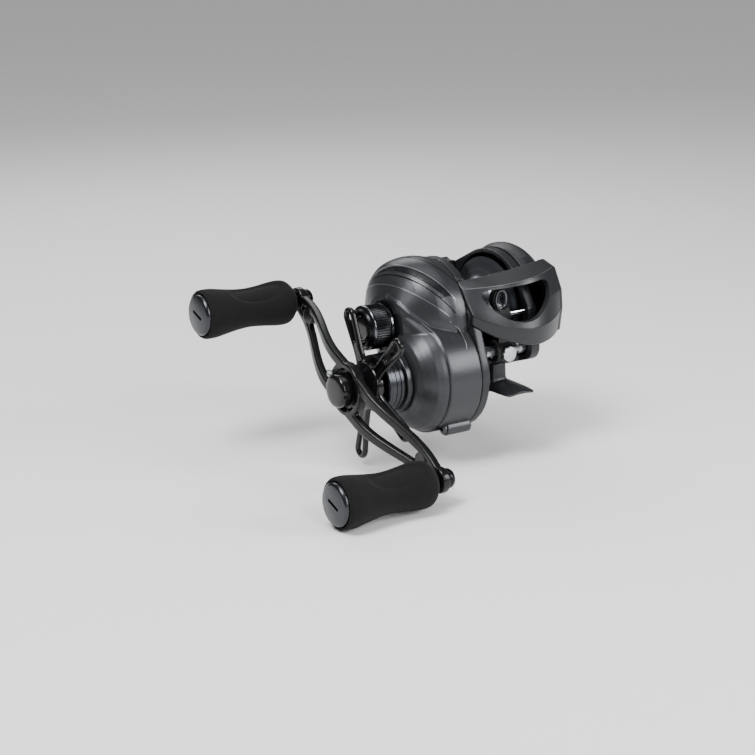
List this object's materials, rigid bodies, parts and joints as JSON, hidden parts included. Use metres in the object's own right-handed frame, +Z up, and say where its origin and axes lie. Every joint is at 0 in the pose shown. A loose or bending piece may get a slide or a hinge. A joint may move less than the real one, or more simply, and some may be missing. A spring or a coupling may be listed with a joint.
{
  "type": "baitcasting reel",
  "caption": "Low-profile baitcasting fishing reel with a twin-arm handle, star drag, spool tension cap, thumb bar, level wind with line guide and a removable palm-side cover.",
  "frame": {"origin": "middle of the flat strip under the reel foot, where it rests in a rod's reel seat", "axes": "+X along the spool from the handle to the palm side, -Y towards the rod tip, +Z up off the rod"},
  "size_m": [0.1259, 0.1074, 0.0729],
  "materials": {
    "housing": "satin gunmetal grey with a fine metallic grain",
    "hood": "satin dark grey moulding",
    "black_gloss": "glossy black",
    "anodised": "black anodised",
    "spool": "polished dark anodised",
    "steel": "plain",
    "brass": "cut",
    "plastic": "black moulding",
    "eva": "matte black EVA foam",
    "carbon": "woven friction washer",
    "ceramic": "polished dark ceramic"
  },
  "bodies": {
    "housing": {"frame": "housing", "reel_foot": "housing", "nose_hood": "hood", "gear_cover": "housing", "cover_screw_1": "steel", "cover_screw_2": "steel", "handle_boss": "anodised", "roller_clutch": "steel", "shaft_bearing": "steel", "pinion_bearing": "steel", "spool_bearing_gear_side": "steel", "tension_base_ring": "black_gloss", "level_wind_rod": "steel", "worm_bush_gear_side": "plastic", "worm_bush_palm_side": "plastic", "yoke_post_1": "steel", "yoke_spring_1": "steel", "yoke_post_2": "steel", "yoke_spring_2": "steel"},
    "crank": {"handle": "anodised", "drive_shaft": "steel", "anti_reverse_sleeve": "steel", "drive_gear": "brass", "drag_washer_inner": "carbon", "drag_plate": "steel", "drag_washer_outer": "carbon", "pressure_plate": "steel", "level_wind_drive_gear": "plastic", "handle_nut_cap": "anodised", "retainer_screw": "steel", "knob_post_a": "steel", "knob_post_b": "steel"},
    "star": {"star_drag": "black_gloss"},
    "knob_a": {"grip_a": "eva", "grip_cap_a": "anodised", "knob_bearing_outer_a": "steel", "knob_bearing_inner_a": "steel"},
    "knob_b": {"grip_b": "eva", "grip_cap_b": "anodised", "knob_bearing_outer_b": "steel", "knob_bearing_inner_b": "steel"},
    "tension_knob": {"tension_cap": "anodised", "tension_cap_insert": "black_gloss"},
    "thumb_rest": {"thumb_bar": "hood"},
    "cam": {"clutch_cam": "steel"},
    "yoke": {"clutch_yoke": "plastic"},
    "pinion": {"pinion_gear": "brass"},
    "line_spool": {"spool": "spool", "spool_shaft": "steel"},
    "level_wind_worm": {"worm_shaft": "steel", "worm_gear": "plastic"},
    "guide_carriage": {"line_guide": "plastic", "line_guide_ring": "ceramic", "pawl_cap": "steel"},
    "palm_side": {"palm_cover": "housing", "spool_bearing_palm_side": "steel", "brake_plate": "plastic"},
    "dial": {"brake_dial": "black_gloss"}
  },
  "joints": [
    {"name": "handle_spin", "type": "hinge", "parent": "housing", "child": "crank", "pos_m": [-0.04, -0.008, 0.006], "axis": [1, 0, 0], "continuous": true},
    {"name": "star_drag_turn", "type": "hinge", "parent": "crank", "child": "star", "pos_m": [-0.051, -0.008, 0.006], "axis": [1, 0, 0], "range_deg": [-180, 360]},
    {"name": "knob_a_spin", "type": "hinge", "parent": "crank", "child": "knob_a", "pos_m": [-0.075, 0.0367, 0.0284], "axis": [1, 0, 0], "continuous": true},
    {"name": "knob_b_spin", "type": "hinge", "parent": "crank", "child": "knob_b", "pos_m": [-0.075, -0.0527, -0.0164], "axis": [1, 0, 0], "continuous": true},
    {"name": "tension_turn", "type": "hinge", "parent": "housing", "child": "tension_knob", "pos_m": [-0.043, 0.002, 0.024], "axis": [1, 0, 0], "range_deg": [-360, 360]},
    {"name": "thumb_press", "type": "slide", "parent": "housing", "child": "thumb_rest", "axis": [0, 0, -1], "range_m": [0, 0.0045]},
    {"name": "clutch_turn", "type": "hinge", "parent": "housing", "child": "cam", "pos_m": [-0.0166, 0.002, 0.024], "axis": [1, 0, 0], "range_deg": [-12.5, 1]},
    {"name": "yoke_shift", "type": "slide", "parent": "housing", "child": "yoke", "axis": [-1, 0, 0], "range_m": [0, 0.0015]},
    {"name": "pinion_spin", "type": "hinge", "parent": "yoke", "child": "pinion", "pos_m": [-0.02, 0.002, 0.024], "axis": [1, 0, 0], "continuous": true},
    {"name": "spool_spin", "type": "hinge", "parent": "housing", "child": "line_spool", "pos_m": [0, 0.002, 0.024], "axis": [1, 0, 0], "continuous": true},
    {"name": "worm_spin", "type": "hinge", "parent": "housing", "child": "level_wind_worm", "pos_m": [0, -0.0195, 0.0136], "axis": [1, 0, 0], "continuous": true},
    {"name": "line_guide_slide", "type": "slide", "parent": "housing", "child": "guide_carriage", "axis": [1, 0, 0], "range_m": [-0.006, 0.006]},
    {"name": "palm_cover_off", "type": "slide", "parent": "housing", "child": "palm_side", "axis": [1, 0, 0], "range_m": [0, 0.03]},
    {"name": "brake_dial_turn", "type": "hinge", "parent": "palm_side", "child": "dial", "pos_m": [0.029, 0.002, 0.024], "axis": [1, 0, 0], "range_deg": [-135, 135]}
  ],
  "couplings": [
    {"joint": "clutch_turn", "follows": "thumb_press", "rad_per_m": -44.2},
    {"joint": "yoke_shift", "follows": "thumb_press", "ratio": 0.31111},
    {"joint": "pinion_spin", "follows": "handle_spin", "ratio": -6.4},
    {"joint": "spool_spin", "follows": "handle_spin", "ratio": -6.4},
    {"joint": "worm_spin", "follows": "handle_spin", "ratio": -2.2857}
  ]
}
